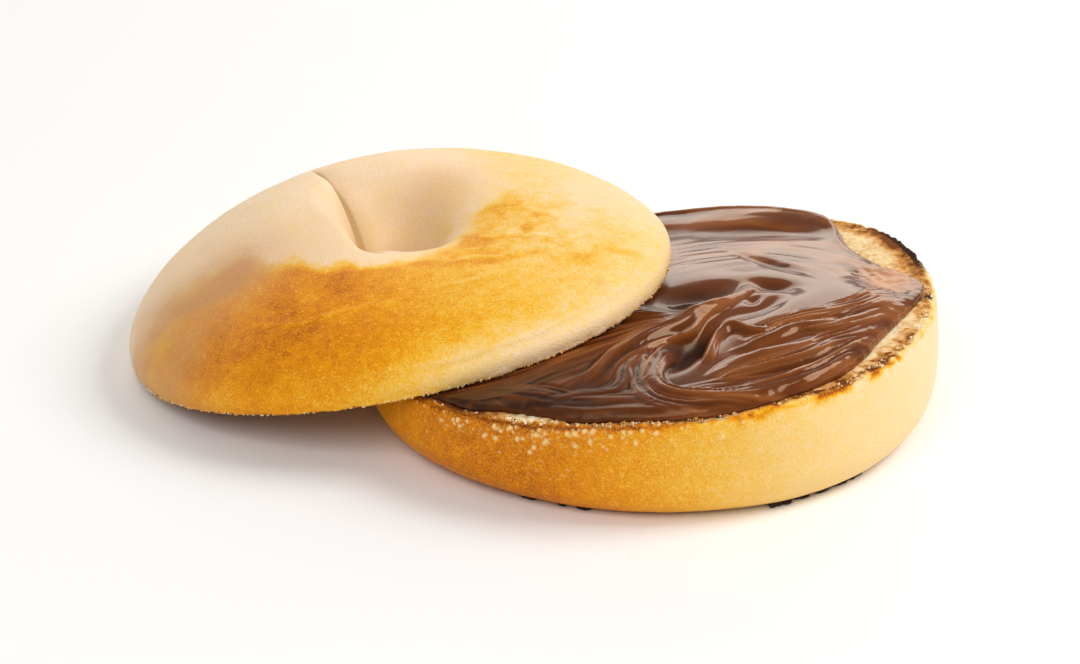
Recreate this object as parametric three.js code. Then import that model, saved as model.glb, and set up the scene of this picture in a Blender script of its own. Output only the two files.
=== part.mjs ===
// A bagel cut in two. The lower half lies cut side up under a swirled chocolate spread.
// The upper half leans on its left edge, crust up, with its own left edge on the table.
// Millimetres, +Z up. The origin is on the table, below the middle of the whole.
// Bearings are in degrees from +X towards +Y. The front, nearest the eater, is -Y.
import * as THREE from "three";

const FULL_TURN = 2 * Math.PI;
const QUARTER_TURN = Math.PI / 2;

const lower = {
  place: [23.95, -10.1],
  baseRadius: 46,
  bulgeRadius: 53,
  bulgeHeight: 7,
  rimRadius: 51.2,
  cutHeight: 15.7,
  cutSlope: [0.092, -0.063], // the knife rose to the right and to the front
  holeRadius: 5,
  holeFlare: 7,
  outline: [-0.016, 0.04, -0.021, -0.009],
};

const upper = {
  cutMiddle: [-48.4, 18.4, 11.18], // from the middle of the lower half's base
  lean: 12.7,
  leanTowards: 166.8,
  rimRadius: 52.1,
  bulgeRadius: 52.5,
  bulgeHeight: 1.7,
  outline: [-0.02, -0.03, 0, -0.03],
  hole: [1, -2],
  holeRadius: 4.8,
  neckHeight: 1,
  crownHeight: 16.4,
  crownRise: 4.3, // the ring stands this much higher on one side, and lower across from it
  crownRiseTowards: 153,
  crownReach: 17, // from the hole to the top of the ring
  crownShift: 5.5,
  crownShiftTowards: 45,
  shoulder: 1.72, // lower is more pointed, 2 is an ellipse
};

// The seam where the two ends of the dough rope met: a fold along a bent line, with a wall
// on the left of the line and a gentle gully on the right.
const seam = {
  from: [-1.5, -17],
  bend: [-5, -5],
  to: [-17.5, 33],
  depth: 3.4,
  wall: 1.3,
  gully: 10,
};

const spread = {
  thickness: 2.5,
  thinnest: 0.5,
  edgeRound: 6,
  bedGap: 0.1, // kept above the cut, so that the two solids don't touch
  pressGap: 0.4, // kept below the upper half where that rests
  margin: 1.3,
  ripple: 0.35,
  rippleCounts: [7, 11], // waves round the edge
};

// Where the spread stops further short of the rim and the toasted crumb shows.
const barePatches = [
  { bearing: 25, halfWidth: 22, depth: 6.5 },
  { bearing: -119, halfWidth: 9, depth: 2.6 },
  { bearing: -24, halfWidth: 8, depth: 1.6 },
];

// The knife's sweeps through the spread, each from a start through a bend to an end.
// A positive height is a ridge, and a negative one a furrow.
const sweeps = [
  { from: [16, 3], bend: [9, -14], to: [-9, -29], width: 3.4, height: 2.3 },
  { from: [-4, -24], bend: [-5, -45], to: [15, -44], width: 2.2, height: 1.1 },
  { from: [10.5, -17], bend: [15, -20], to: [26, -9], width: 2, height: 2.4 },
  { from: [10.5, -17], bend: [8.5, -25], to: [12, -30], width: 2, height: 1.6 },
  { from: [12, -22], bend: [27, -24], to: [43, -9], width: 2.4, height: 1.2 },
  { from: [12, -31], bend: [30, -33], to: [44, -16], width: 2.4, height: 1 },
  { from: [-12, -36], bend: [16, -50], to: [38, -28], width: 2.6, height: 0.9 },
  { from: [-9, 9], bend: [9, 18], to: [26, 6], width: 3.4, height: 1.5 },
  { from: [-6, 26], bend: [16, 36], to: [36, 20], width: 4.2, height: 0.9 },
  { from: [6, 45], bend: [18, 49], to: [30, 41], width: 4.4, height: 1.7 },
  { from: [12, -6], bend: [-6, -17], to: [-32, -24], width: 2.6, height: 1 },
  { from: [-6, -24], bend: [-21, -34], to: [-34, -33], width: 2.4, height: 0.8 },
  { from: [3, -28], bend: [6, -22], to: [10, -20], width: 3.6, height: -2.6 },
  { from: [0, 0], bend: [7, -3], to: [14, 3], width: 5, height: -1.9 },
  { from: [16, 7], bend: [21, 4], to: [24, -4], width: 2.8, height: -1.6 },
  { from: [-15, -32], bend: [-10, -43], to: [2, -48], width: 2, height: -0.7 },
];

// How finely the curved surfaces are divided.
const steps = {
  bearingsLower: 84,
  bearingsSpread: 96,
  bearingsUpper: 96,
  flare: 4,
  side: 5,
  crust: 9,
  funnel: 6,
  spreadTop: 25,
  path: 12,
};

const colours = {
  crust: 0xd9983f,
  chocolate: 0x5a2f1a,
};

const radians = (degrees) => (degrees * FULL_TURN) / 360;
const mix = (a, b, share) => a + (b - a) * share;

// 0 below the start, 1 above the end, and smooth between them.
function smoothStep(start, end, value) {
  const t = Math.min(1, Math.max(0, (value - start) / (end - start)));
  return t * t * (3 - 2 * t);
}

// The signed turn from one bearing to another, in degrees, from -180 to 180.
const turnBetween = (from, to) => ((((to - from + 180) % 360) + 360) % 360) - 180;

// How far the outline reaches at a bearing, as a share of its mean radius.
function outlineShare([cos2, sin2, cos3, sin3], angle) {
  return (
    1 +
    cos2 * Math.cos(2 * angle) +
    sin2 * Math.sin(2 * angle) +
    cos3 * Math.cos(3 * angle) +
    sin3 * Math.sin(3 * angle)
  );
}

// The height of the lower half's cut above the table.
function cutHeightAt(x, y) {
  return lower.cutHeight + lower.cutSlope[0] * x + lower.cutSlope[1] * y;
}

// The lower half's section at one bearing, as a closed loop of points: down the hole,
// along the base, up the bulging side to the rim, and back across the cut.
function lowerSection(angle) {
  const share = outlineShare(lower.outline, angle);
  const points = [];
  const add = (radius, z) =>
    points.push([radius * Math.cos(angle), radius * Math.sin(angle), z]);
  const cutAt = (radius) =>
    cutHeightAt(radius * Math.cos(angle), radius * Math.sin(angle));

  add(lower.holeRadius, cutAt(lower.holeRadius));
  for (let i = 0; i <= steps.flare; i++) {
    const t = (QUARTER_TURN * i) / steps.flare;
    const radius = lower.holeRadius + lower.holeFlare * (1 - Math.cos(t));
    add(radius, lower.holeFlare * (1 - Math.sin(t)));
  }
  for (let i = 0; i <= steps.side; i++) {
    const t = (QUARTER_TURN * i) / steps.side;
    const radius = mix(lower.baseRadius, lower.bulgeRadius, Math.sin(t));
    add(radius * share, lower.bulgeHeight * (1 - Math.cos(t)));
  }
  for (let i = 1; i <= steps.side; i++) {
    const t = (QUARTER_TURN * i) / steps.side;
    const radius = mix(lower.rimRadius, lower.bulgeRadius, Math.cos(t)) * share;
    const rimHeight = cutAt(lower.rimRadius * share);
    add(radius, mix(lower.bulgeHeight, rimHeight, Math.sin(t)));
  }
  const halfWay = mix(lower.holeRadius, lower.rimRadius * share, 0.5);
  add(halfWay, cutAt(halfWay));
  return points;
}

// The nearest place on a bent path to a point: how far off it is, how far along the path
// it lies from 0 to 1, and whether the point is on the right-hand side.
function nearestOn(path, x, y) {
  const nearest = { distance: Infinity };
  let before = path.from;
  for (let i = 1; i <= steps.path; i++) {
    const t = i / steps.path;
    const here = [0, 1].map((k) =>
      mix(mix(path.from[k], path.bend[k], t), mix(path.bend[k], path.to[k], t), t),
    );
    const run = [here[0] - before[0], here[1] - before[1]];
    const off = [x - before[0], y - before[1]];
    const share = (off[0] * run[0] + off[1] * run[1]) / (run[0] ** 2 + run[1] ** 2);
    const foot = Math.min(1, Math.max(0, share));
    const distance = Math.hypot(off[0] - run[0] * foot, off[1] - run[1] * foot);
    if (distance < nearest.distance) {
      nearest.distance = distance;
      nearest.along = (i - 1 + foot) / steps.path;
      nearest.onRight = run[0] * off[1] - run[1] * off[0] < 0;
    }
    before = here;
  }
  return nearest;
}

// How much the seam lowers the upper half's crust at a point of its cut's plane.
function seamDrop(x, y) {
  const { distance, along, onRight } = nearestOn(seam, x, y);
  const fade = smoothStep(0, 0.35, along) * (1 - smoothStep(0.55, 1, along));
  return seam.depth * fade * Math.exp(-((distance / (onRight ? seam.gully : seam.wall)) ** 2));
}

// The upper half's section at one bearing, as a closed loop: out along the cut, up the
// crust to the top of the ring, and down the funnel to the hole.
function upperSection(angle) {
  const share = outlineShare(upper.outline, angle);
  const swing = (towards) => Math.cos(angle - radians(towards));
  const reach = upper.crownReach + upper.crownShift * swing(upper.crownShiftTowards);
  const crown = upper.crownHeight + upper.crownRise * swing(upper.crownRiseTowards);
  const crownWay = (reach - upper.holeRadius) / (upper.bulgeRadius - upper.holeRadius);
  // a place part of the way from the hole's wall to the outline of the given radius
  const placeAt = (way, radius = upper.bulgeRadius) => {
    const innerX = upper.hole[0] + upper.holeRadius * Math.cos(angle);
    const innerY = upper.hole[1] + upper.holeRadius * Math.sin(angle);
    return [
      mix(innerX, radius * share * Math.cos(angle), way),
      mix(innerY, radius * share * Math.sin(angle), way),
    ];
  };
  const crustAt = (way, z) => {
    const [x, y] = placeAt(way);
    const keep = smoothStep(upper.neckHeight, crown, z); // no drop at the neck and the rim
    return [x, y, z - seamDrop(x, y) * keep];
  };

  const points = [
    [...placeAt(0), 0],
    [...placeAt(0.5), 0],
    [...placeAt(1, upper.rimRadius), 0],
  ];
  for (let i = 0; i < steps.crust; i++) {
    const t = (QUARTER_TURN * i) / steps.crust;
    const way = mix(crownWay, 1, Math.cos(t) ** (2 / upper.shoulder));
    points.push(crustAt(way, mix(upper.bulgeHeight, crown, Math.sin(t))));
  }
  for (let i = 0; i <= steps.funnel; i++) {
    const t = (QUARTER_TURN * i) / steps.funnel;
    const way = crownWay * (1 - Math.sin(t));
    points.push(crustAt(way, mix(upper.neckHeight, crown, Math.cos(t))));
  }
  return points;
}

// A sweep's raised or sunk amount at a point: a bell across its path, fading at its ends.
function sweepHeight(sweep, x, y) {
  const { distance, along } = nearestOn(sweep, x, y);
  const fade = smoothStep(-0.1, 0.25, along) * smoothStep(1.1, 0.75, along);
  return sweep.height * fade * Math.exp(-((distance / sweep.width) ** 2));
}

// How far the spread reaches at a bearing.
function spreadRadius(angle) {
  const bearing = (angle * 360) / FULL_TURN;
  let margin = spread.margin;
  for (const [i, count] of spread.rippleCounts.entries()) {
    margin += spread.ripple * Math.sin(count * angle + i + 1);
  }
  for (const patch of barePatches) {
    const turn = turnBetween(patch.bearing, bearing) / patch.halfWidth;
    margin += patch.depth * Math.exp(-(turn ** 4));
  }
  return lower.rimRadius * outlineShare(lower.outline, angle) - margin;
}

// The way that the upper half's cut faces, up through its crust.
const leanNormal = new THREE.Vector3(
  Math.sin(radians(upper.lean)) * Math.cos(radians(upper.leanTowards)),
  Math.sin(radians(upper.lean)) * Math.sin(radians(upper.leanTowards)),
  Math.cos(radians(upper.lean)),
);

// The height of the upper half's cut above the table.
function upperCutAt(x, y) {
  const [middleX, middleY, middleZ] = upper.cutMiddle;
  const fall = leanNormal.x * (x - middleX) + leanNormal.y * (y - middleY);
  return middleZ - fall / leanNormal.z;
}

// The top of the spread at a bearing, a share of the way out to its edge.
function spreadTop(angle, share) {
  const edge = spreadRadius(angle);
  const x = edge * share * Math.cos(angle);
  const y = edge * share * Math.sin(angle);
  let height = spread.thickness;
  for (const sweep of sweeps) height += sweepHeight(sweep, x, y);
  const fromEdge = Math.min(1, (edge * (1 - share)) / spread.edgeRound);
  const round = Math.sqrt(fromEdge * (2 - fromEdge));
  height = spread.thinnest + Math.max(0, height - spread.thinnest) * round;
  const underUpper = upperCutAt(x, y) - spread.pressGap;
  return [x, y, Math.min(cutHeightAt(x, y) + height, underUpper)];
}

// The spread's section at one bearing, from the middle of its top out to the edge and
// back along the cut to the middle of its underside.
function spreadSection(angle) {
  const points = [];
  for (let i = 0; i <= steps.spreadTop; i++) {
    points.push(spreadTop(angle, i / steps.spreadTop));
  }
  const edge = spreadRadius(angle);
  for (const share of [1, 0]) {
    const x = edge * share * Math.cos(angle);
    const y = edge * share * Math.sin(angle);
    points.push([x, y, cutHeightAt(x, y) + spread.bedGap]);
  }
  return points;
}

// Joins the sections at evenly spaced bearings into one closed surface. A ring's section is
// a loop. A disc's section starts and ends on the axis, with its top first.
function solidFromSections(sectionAt, bearings, ring) {
  const sections = Array.from({ length: bearings }, (_, i) =>
    sectionAt((FULL_TURN * i) / bearings),
  );
  const count = sections[0].length;
  const positions = sections.flat(2);
  const triangles = [];
  const quad = (a, b, c, d) => triangles.push(a, b, c, a, c, d);
  for (let i = 0; i < bearings; i++) {
    const here = i * count;
    const next = ((i + 1) % bearings) * count;
    if (ring) {
      for (let j = 0; j < count; j++) {
        const k = (j + 1) % count;
        quad(here + j, next + j, next + k, here + k);
      }
    } else {
      triangles.push(0, here + 1, next + 1);
      for (let j = 1; j < count - 2; j++) {
        quad(here + j, here + j + 1, next + j + 1, next + j);
      }
      triangles.push(here + count - 2, count - 1, next + count - 2);
    }
  }
  const geometry = new THREE.BufferGeometry();
  geometry.setAttribute("position", new THREE.Float32BufferAttribute(positions, 3));
  geometry.setIndex(triangles);
  return geometry;
}

function namedMesh(name, geometry, colour, roughness) {
  geometry.computeVertexNormals();
  const material = new THREE.MeshStandardMaterial({
    color: colour,
    roughness,
    metalness: 0,
  });
  const mesh = new THREE.Mesh(geometry, material);
  mesh.name = name;
  return mesh;
}

function makeLowerHalf() {
  const geometry = solidFromSections(lowerSection, steps.bearingsLower, true);
  return namedMesh("lower_half", geometry, colours.crust, 0.6);
}

function makeSpread() {
  const geometry = solidFromSections(spreadSection, steps.bearingsSpread, false);
  return namedMesh("chocolate_spread", geometry, colours.chocolate, 0.15);
}

function makeUpperHalf() {
  const geometry = solidFromSections(upperSection, steps.bearingsUpper, true);
  const mesh = namedMesh("upper_half", geometry, colours.crust, 0.6);
  mesh.position.set(...upper.cutMiddle);
  mesh.quaternion.setFromUnitVectors(new THREE.Vector3(0, 0, 1), leanNormal);
  return mesh;
}

const bagel = new THREE.Group();
bagel.add(makeLowerHalf(), makeSpread(), makeUpperHalf());
bagel.position.set(lower.place[0], lower.place[1], 0);

export default bagel;
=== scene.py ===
# A bagel cut in two: the lower half under a swirled chocolate spread, the upper half leaning on it.
# Sizes are in millimetres from the middle of the lower half's base, bearings in degrees from +X.
import math

import bpy
import numpy as np
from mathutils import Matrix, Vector


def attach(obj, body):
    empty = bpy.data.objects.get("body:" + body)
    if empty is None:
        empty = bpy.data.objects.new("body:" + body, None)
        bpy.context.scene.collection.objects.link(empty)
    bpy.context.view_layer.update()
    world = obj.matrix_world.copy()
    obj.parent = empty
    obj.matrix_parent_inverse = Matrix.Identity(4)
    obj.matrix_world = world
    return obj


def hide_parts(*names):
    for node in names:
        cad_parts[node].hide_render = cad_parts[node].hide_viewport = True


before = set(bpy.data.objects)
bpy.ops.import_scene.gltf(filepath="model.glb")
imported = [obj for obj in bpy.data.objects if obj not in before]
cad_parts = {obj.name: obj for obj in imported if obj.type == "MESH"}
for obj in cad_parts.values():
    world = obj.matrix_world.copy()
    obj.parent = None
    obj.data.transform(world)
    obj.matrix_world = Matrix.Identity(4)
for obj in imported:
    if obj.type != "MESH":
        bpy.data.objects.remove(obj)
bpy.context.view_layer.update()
millimetre = 0.001
fullTurn = 2 * math.pi
quarterTurn = math.pi / 2


def smoothStep(start, end, value):
    # 0 before the start, 1 after the end, and 3t² - 2t³ between them
    t = np.clip((value - start) / (end - start), 0, 1)
    return t * t * (3 - 2 * t)


def blend(a, b, share):
    # the value a share of the way from a to b
    return a + (b - a) * share


def turnBetween(start, end):
    # the signed turn from one bearing to another, in degrees
    return (end - start + 180) % 360 - 180


def bell(distance, width):
    # e to the power of -(distance / width)²: 1 at no distance, 0.37 at the width
    return np.exp(-((distance / width) ** 2))


def facing(bearing, middle, width):
    # 1 at the middle bearing and a bell on both sides of it
    return bell(turnBetween(middle, bearing), width)


def patchesAt(bearing, patches):
    # the sum of bells round the patches' bearings, each as wide and as high as its patch says
    return sum(height * facing(bearing, middle, width) for middle, width, height in patches)


def ovalReach(x, y, oval):
    # how far out a point lies in an oval: 0 at its middle, 1 a half size away from it
    middleX, middleY, sizeX, sizeY = oval
    return np.hypot((x - middleX) / sizeX, (y - middleY) / sizeY)


def spot(x, y, oval):
    # a bell over the oval's reach
    return bell(ovalReach(x, y, oval), 1)


def fadedEnds(way, start, end):
    # along a path's way from 0 to 1: rising until the start, 1 between them and falling from the end on
    return smoothStep(0, start, way) * smoothStep(1, end, way)


def latticeRandom(cells, seed):
    # a fixed number from 0 to 1 for each whole-number cell, from mixed and folded products
    mixed = cells[..., 0] * 374761393 + cells[..., 1] * 668265263 + cells[..., 2] * 1442695041
    mixed = (mixed + seed * 974711) & 0x7FFFFFFF
    mixed = ((mixed ^ (mixed >> 13)) * 1274126177) & 0x7FFFFFFF
    mixed = ((mixed ^ (mixed >> 15)) * 73856093) & 0x7FFFFFFF
    return (mixed ^ (mixed >> 16)) % 65536 / 65535


def smoothNoise(points, size, seed):
    # random values at a cubic lattice's corners, blended smoothly between them: from -1 to 1
    scaled = points / size
    cells = np.floor(scaled).astype(np.int64)
    part = scaled - cells
    part = part * part * (3 - 2 * part)
    total = 0
    for corner in np.ndindex(2, 2, 2):
        weight = np.prod(np.where(np.array(corner) == 1, part, 1 - part), axis=-1)
        total += weight * latticeRandom(cells + np.array(corner), seed)
    return 2 * total - 1


def layeredNoise(points, size, layers, seed):
    # noise on noise, each layer half the size and half the height of the one before
    total = sum(smoothNoise(points, size / 2**k, seed + k) / 2**k for k in range(layers))
    return total / sum(1 / 2**k for k in range(layers))


def scatteredDomes(points, spacing, radii, share, seed):
    # one dome in some cells of a cubic lattice, (1 - d²/r²)² high, with its radius drawn at random
    cells = np.floor(points / spacing).astype(np.int64)
    height = np.zeros(points.shape[:-1])
    for step in np.ndindex(3, 3, 3):
        cell = cells + np.array(step) - 1
        draws = [latticeRandom(cell, seed + k) for k in range(5)]
        middle = (cell + 0.2 + 0.6 * np.stack(draws[:3], axis=-1)) * spacing
        radius = blend(radii[0], radii[1], draws[3] ** 2)
        away = np.sum((points - middle) ** 2, axis=-1) / radius**2
        dome = np.where(draws[4] < share, np.clip(1 - away, 0, 1) ** 2 * radius / radii[1], 0)
        height = np.maximum(height, dome)
    return height


def smoothPath(knots, steps=8):
    # a curve through the knots, as four-point (Catmull-Rom) pieces
    knots = np.array(knots, float)
    ends = np.vstack([2 * knots[0] - knots[1], knots, 2 * knots[-1] - knots[-2]])
    t = np.linspace(0, 1, steps, endpoint=False)[:, None]
    pieces = []
    for a, b, c, d in zip(ends, ends[1:], ends[2:], ends[3:]):
        pieces.append(
            b + 0.5 * t * (c - a + t * (2 * a - 5 * b + 4 * c - d + t * (3 * b - a - 3 * c + d)))
        )
    return np.vstack(pieces + [knots[-1:]])


def alongPath(x, y, knots):
    # each point's signed distance from a path, left positive, and its way along it in millimetres
    path = smoothPath(knots)
    lengths = np.hypot(*(path[1:] - path[:-1]).T)
    before = np.concatenate([[0], np.cumsum(lengths)])
    nearest = np.full(x.shape, 1e9)
    signed = np.zeros(x.shape)
    along = np.zeros(x.shape)
    for i, length in enumerate(lengths):
        run = (path[i + 1] - path[i]) / length
        offX, offY = x - path[i][0], y - path[i][1]
        foot = np.clip(offX * run[0] + offY * run[1], 0, length)
        away = np.hypot(offX - run[0] * foot, offY - run[1] * foot)
        closer = away < nearest
        nearest = np.where(closer, away, nearest)
        side = np.sign(run[0] * offY - run[1] * offX)
        signed = np.where(closer, away * side, signed)
        along = np.where(closer, before[i] + foot, along)
    return signed, along, before[-1]


def outlineShare(shape, angle):
    # the outline's reach as a share of its mean radius: second and third harmonics of the bearing
    cos2, sin2, cos3, sin3 = shape
    second = cos2 * np.cos(2 * angle) + sin2 * np.sin(2 * angle)
    return 1 + second + cos3 * np.cos(3 * angle) + sin3 * np.sin(3 * angle)


def outwardNormals(points, sideRow):
    # the cross product of the steps to the neighbours both ways of a closed grid, made 1 long and
    # turned to point outwards on a row of the side
    around = np.roll(points, -1, axis=0) - np.roll(points, 1, axis=0)
    across = np.roll(points, -1, axis=1) - np.roll(points, 1, axis=1)
    normals = np.cross(around, across)
    normals = normals / np.maximum(np.linalg.norm(normals, axis=-1, keepdims=True), 1e-12)
    outwards = np.sum(normals[:, sideRow, :2] * points[:, sideRow, :2]) > 0
    return normals if outwards else -normals


def wayFrom(points, row):
    # how far each point lies along its section from one row, negative before that row
    steps = np.linalg.norm(np.diff(points, axis=1), axis=-1)
    run = np.concatenate([np.zeros((len(points), 1)), np.cumsum(steps, axis=1)], axis=1)
    return run - run[:, [row]]


def unevenness(points, half, seed):
    # slow lumps and smaller dents: layered noises of the half's own sizes and heights
    pair = enumerate((half["lumps"], half["dents"]))
    return sum(layeredNoise(points, size, 2, seed + k) * height for k, (size, height) in pair)


def makePiece(name, points, faces, masks, material):
    # a mesh from points in millimetres, faces of one size and one float attribute for each mask
    mesh = bpy.data.meshes.new(name)
    place = np.array([*lower["place"], 0])
    mesh.vertices.add(points.size // 3)
    mesh.vertices.foreach_set("co", ((points + place) * millimetre).ravel())
    mesh.loops.add(faces.size)
    mesh.loops.foreach_set("vertex_index", faces.ravel())
    mesh.polygons.add(len(faces))
    mesh.polygons.foreach_set("loop_start", np.arange(0, faces.size, faces.shape[1]))
    mesh.polygons.foreach_set("use_smooth", np.ones(len(faces), bool))
    mesh.update(calc_edges=True)
    mesh.validate()
    for mask, values in masks.items():
        attribute = mesh.attributes.new(mask, "FLOAT", "POINT")
        every = np.broadcast_to(values, points.shape[:-1]).astype(float)
        attribute.data.foreach_set("value", every.ravel())
    mesh.materials.append(material)
    piece = bpy.data.objects.new(name, mesh)
    bpy.context.collection.objects.link(piece)
    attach(piece, "root")
    print(name, len(mesh.vertices), "points", len(mesh.polygons), "faces")
    return piece


def ringFaces(around, across):
    # quads of a grid that closes on itself both ways
    i = np.arange(around)[:, None]
    j = np.arange(across)[None, :]
    nextI, nextJ = (i + 1) % around, (j + 1) % across
    corners = [i * across + j, nextI * across + j, nextI * across + nextJ, i * across + nextJ]
    return np.stack([np.broadcast_to(c, (around, across)) for c in corners], axis=-1).reshape(-1, 4)


def discFaces(around, across):
    # quads between the rings, and at both poles a fan of quads that take two steps each
    i = np.arange(around)[:, None]
    j = np.arange(across - 1)[None, :]
    nextI = (i + 1) % around
    corners = [i * across + j, i * across + j + 1, nextI * across + j + 1, nextI * across + j]
    quads = np.stack([np.broadcast_to(c, (around, across - 1)) for c in corners], axis=-1)
    top, bottom = around * across, around * across + 1
    even = np.arange(0, around, 2)
    first, second, third = even * across, (even + 1) * across, (even + 2) % around * across
    last = across - 1
    topFan = np.stack([np.full_like(even, top), first, second, third], axis=-1)
    bottomFan = np.stack([np.full_like(even, bottom), third + last, second + last, first + last], axis=-1)
    return np.vstack([quads.reshape(-1, 4), topFan, bottomFan])


class Wire:
    # one output in a material's nodes: arithmetic on it adds Math nodes, make adds any other node
    def __init__(self, nodes, socket=None):
        self.nodes, self.socket = nodes, socket

    def make(self, kind, settings=None, values=None, output=0):
        node = self.nodes.nodes.new(kind)
        for name, value in (settings or {}).items():
            if name == "stops":
                for stop, (place, colour) in enumerate(value):
                    if stop > 1:
                        node.color_ramp.elements.new(place)
                    node.color_ramp.elements[stop].position = place
                    node.color_ramp.elements[stop].color = colour
            else:
                setattr(node, name, value)
        for name, value in (values or {}).items():
            if isinstance(value, Wire):
                self.nodes.links.new(value.socket, node.inputs[name])
            else:
                node.inputs[name].default_value = value
        return Wire(self.nodes, node.outputs[output])

    def calc(self, operation, *terms):
        # one Math node
        return self.make("ShaderNodeMath", {"operation": operation}, dict(enumerate(terms)))

    def __add__(self, other):
        return self.calc("ADD", self, other)

    def __sub__(self, other):
        return self.calc("SUBTRACT", self, other)

    def __rsub__(self, other):
        return self.calc("SUBTRACT", other, self)

    def __mul__(self, other):
        return self.calc("MULTIPLY", self, other)

    __radd__, __rmul__ = __add__, __mul__

    def clamped(self, low, high):
        # the share of the way from low to high, kept from 0 to 1
        settings = {"clamp": True}
        return self.make("ShaderNodeMapRange", settings, {0: self, 1: low, 2: high})

    def attribute(self, name):
        # one of the masks that makePiece stores on the points, 0 where a piece has none
        return self.make("ShaderNodeAttribute", {"attribute_name": name}, output=2)

    def noise(self, size, detail=2):
        # a noise whose marks are about this many millimetres wide
        values = {"Vector": self.place(), "Scale": 1 / (size * millimetre), "Detail": detail}
        return self.make("ShaderNodeTexNoise", None, values)

    def cells(self, size):
        # the way to the nearest of some scattered points about this many millimetres apart
        values = {"Vector": self.place(), "Scale": 1 / (size * millimetre)}
        return self.make("ShaderNodeTexVoronoi", {"feature": "F1"}, values)

    def place(self):
        # where the point lies on its own object, in metres
        return self.make("ShaderNodeTexCoord", output=3)

    def ramp(self, stops):
        # this number turned into a colour
        return self.make("ShaderNodeValToRGB", {"stops": stops}, {0: self})

    def tint(self, under, over):
        # two colours mixed by this number
        return self.make("ShaderNodeMix", {"data_type": "RGBA"}, {0: self, 6: under, 7: over}, output=2)


def paint(red, green, blue):
    # a screen colour from 0 to 255, as the light values that shaders use
    shares = [c / 255 for c in (red, green, blue)]
    return (*[c / 12.92 if c < 0.04 else ((c + 0.055) / 1.055) ** 2.4 for c in shares], 1)


def newMaterial(name, **settings):
    # a material, its first wire and its main shader, with constants set on the shader
    material = bpy.data.materials.new(name)
    material.use_nodes = True
    nodes = material.node_tree
    shader = nodes.nodes["Principled BSDF"]
    for socket, value in settings.items():
        shader.inputs[socket].default_value = value
    return material, Wire(nodes), shader


def feed(wire, shader, **wires):
    # each named input of the shader linked to its wire
    for socket, source in wires.items():
        wire.nodes.links.new(source.socket, shader.inputs[socket.replace("_", " ")])


breadLook = {
    "crust": (
        (0.0, paint(249, 219, 182)),
        (0.25, paint(248, 208, 128)),
        (0.45, paint(246, 188, 54)),
        (0.62, paint(236, 155, 8)),
        (0.8, paint(212, 124, 14)),
        (1.0, paint(128, 62, 12)),
    ),
    "crumb": (
        (0.0, paint(255, 243, 214)),
        (0.4, paint(246, 214, 158)),
        (0.7, paint(214, 150, 76)),
        (1.0, paint(120, 66, 24)),
    ),
    "blister": paint(255, 220, 148),
    # the colour of tan crust, also used for painted shade on the upper half's left
    "tan": paint(206, 148, 100),
    "char": paint(58, 34, 20),
    # the colour that painted shade multiplies in
    "shade": (0.55, 0.45, 0.3, 1),
    "mottle": 2.6, "grain": 0.34, "beads": 0.5, "bubbles": 0.42, "pores": 1.3,  # in millimetres
    "grainHeight": 0.00007, "crumbHeight": 0.00022,  # in metres
    "shine": 0.12, "roughness": 0.42, "crumbRoughness": 0.4,
}


def makeBread():
    # browning drives the colour, the crumb mask swaps crust for cut bread, the shade mask dims it as
    # painted shade, and char goes on top
    material, wire, shader = newMaterial("bakedBread", **{"Specular IOR Level": breadLook["shine"]})
    toast, crumb = wire.attribute("toast"), wire.attribute("crumb")
    blister, char = wire.attribute("blister"), wire.attribute("char")
    mottle = wire.noise(breadLook["mottle"], 4) - 0.5
    speck = wire.noise(breadLook["grain"], 2) - 0.5
    bead = 1 - wire.cells(breadLook["beads"]).clamped(0.08, 0.5)
    sparse = wire.noise(1.2, 2).clamped(0.42, 0.62)
    # paler on the scattered beads as well as raised by them: painted glints on the crust's tiny blisters
    browned = toast + mottle * 0.2 + speck * 0.5 - bead * sparse * 0.26
    # tan mixed in by its mask: the crust's own tan together with painted shade
    crust = wire.attribute("tan").tint(browned.ramp(breadLook["crust"]), breadLook["tan"])
    crust = blister.tint(crust, breadLook["blister"])
    torn = (toast + (wire.noise(1.1, 4) - 0.5) * 0.7 + speck * 0.25).ramp(breadLook["crumb"])
    colour = crumb.tint(crust, torn)
    # painted shade: the colour is multiplied towards the shade colour by the shade mask
    shading = {0: wire.attribute("shade"), 6: colour, 7: breadLook["shade"]}
    multiplied = {"data_type": "RGBA", "blend_type": "MULTIPLY"}
    dimmed = wire.make("ShaderNodeMix", multiplied, shading, output=2)
    burnt = (char + (wire.noise(0.8, 3) - 0.5) * 0.5).clamped(0.35, 0.75)
    colour = burnt.tint(dimmed, breadLook["char"])
    bubbles = 1 - wire.cells(breadLook["bubbles"]).clamped(0, 0.7)
    fine = wire.noise(breadLook["grain"], 3) * 0.8 + bubbles * 0.5 + bead * sparse * 0.9
    pores = wire.noise(0.9, 5) + wire.cells(breadLook["pores"]).clamped(0, 0.6) * 0.6
    height = fine * (1 - crumb) * breadLook["grainHeight"] + pores * crumb * breadLook["crumbHeight"]
    bump = wire.make("ShaderNodeBump", None, {"Distance": 1.0, "Strength": 1.0, "Height": height})
    rough = breadLook["roughness"] + crumb * breadLook["crumbRoughness"] + wire.noise(1.4, 3) * 0.16
    feed(wire, shader, Base_Color=colour, Roughness=rough, Normal=bump)
    return material


spreadLook = {
    # deep is reached in painted shade and light on painted highlights, and the spread's own cloudy tone
    # moves between them too
    "deep": paint(52, 22, 8),
    "middle": paint(106, 52, 18),
    "light": paint(158, 94, 46),
    "thin": paint(204, 148, 112),
    "shine": 0.36, "shineTint": (1, 0.72, 0.46, 1),
    "roughness": 0.11, "thinRoughness": 0.25, "hollowRoughness": 0.34,
    "cloud": 5, "skin": 0.6,  # the sizes of its cloudiness and its skin's marks, in millimetres
    "skinHeight": 0.00001,  # in metres
}


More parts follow.
